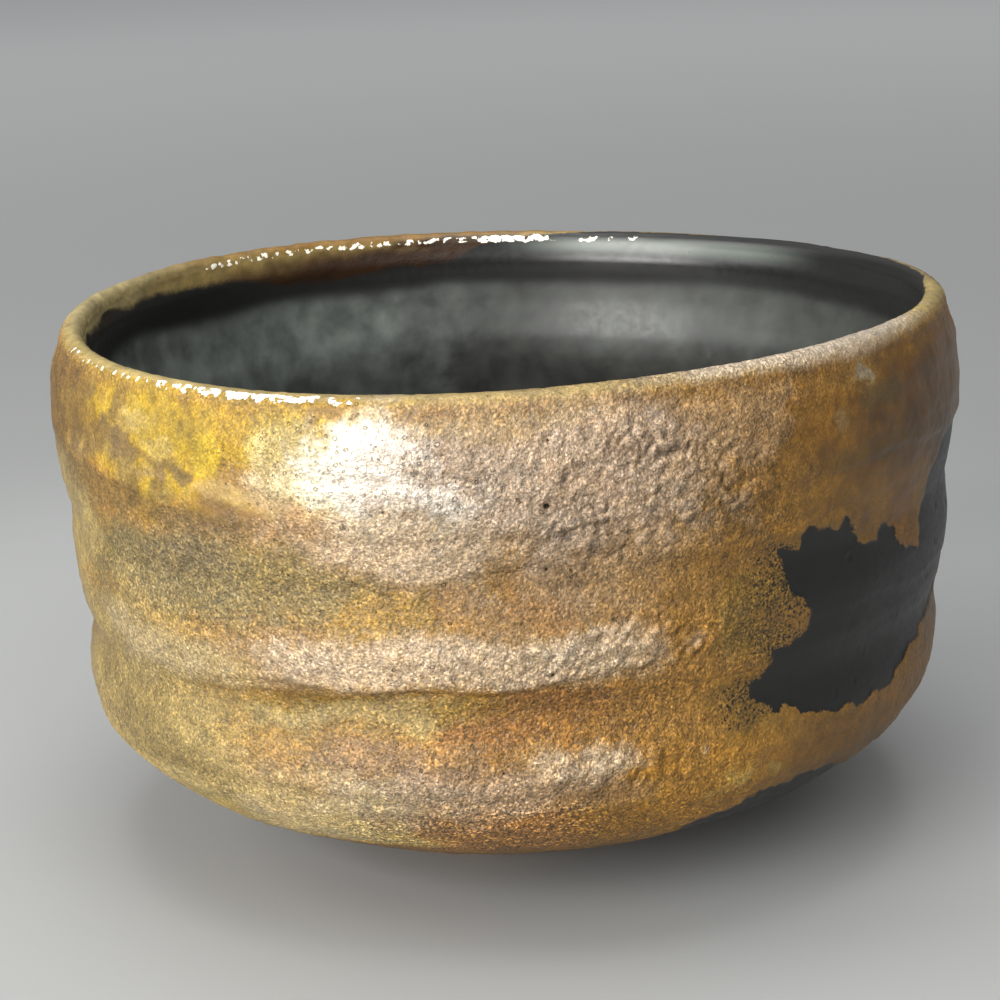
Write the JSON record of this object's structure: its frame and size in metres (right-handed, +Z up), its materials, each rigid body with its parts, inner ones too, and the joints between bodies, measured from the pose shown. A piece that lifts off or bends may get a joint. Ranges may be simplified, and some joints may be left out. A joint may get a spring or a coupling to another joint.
{
  "type": "tea bowl",
  "caption": "Wheel-thrown stoneware tea bowl with a rounded lip, throwing ridges and a low foot ring, ash glazed outside and dark glazed inside, for whisking and drinking powdered tea.",
  "frame": {"origin": "centre of the foot on the plane the bowl stands on", "axes": "+Z up through the mouth; -Y is the side that faces the camera in the picture, with the black patch towards +X"},
  "size_m": [0.1246, 0.1242, 0.0749],
  "materials": {
    "clay": "bare fired stoneware, dark brown and slightly gritty",
    "ash_glaze": "granular ash glaze with a metallic lustre, gold and ochre over dark olive, with one black patch",
    "dark_glaze": "smooth near-black glaze with a satin sheen"
  },
  "bodies": {
    "root": {"clay_body": "clay", "foot_ring": "clay", "outside_glaze": "ash_glaze", "inside_glaze": "dark_glaze"}
  },
  "joints": []
}
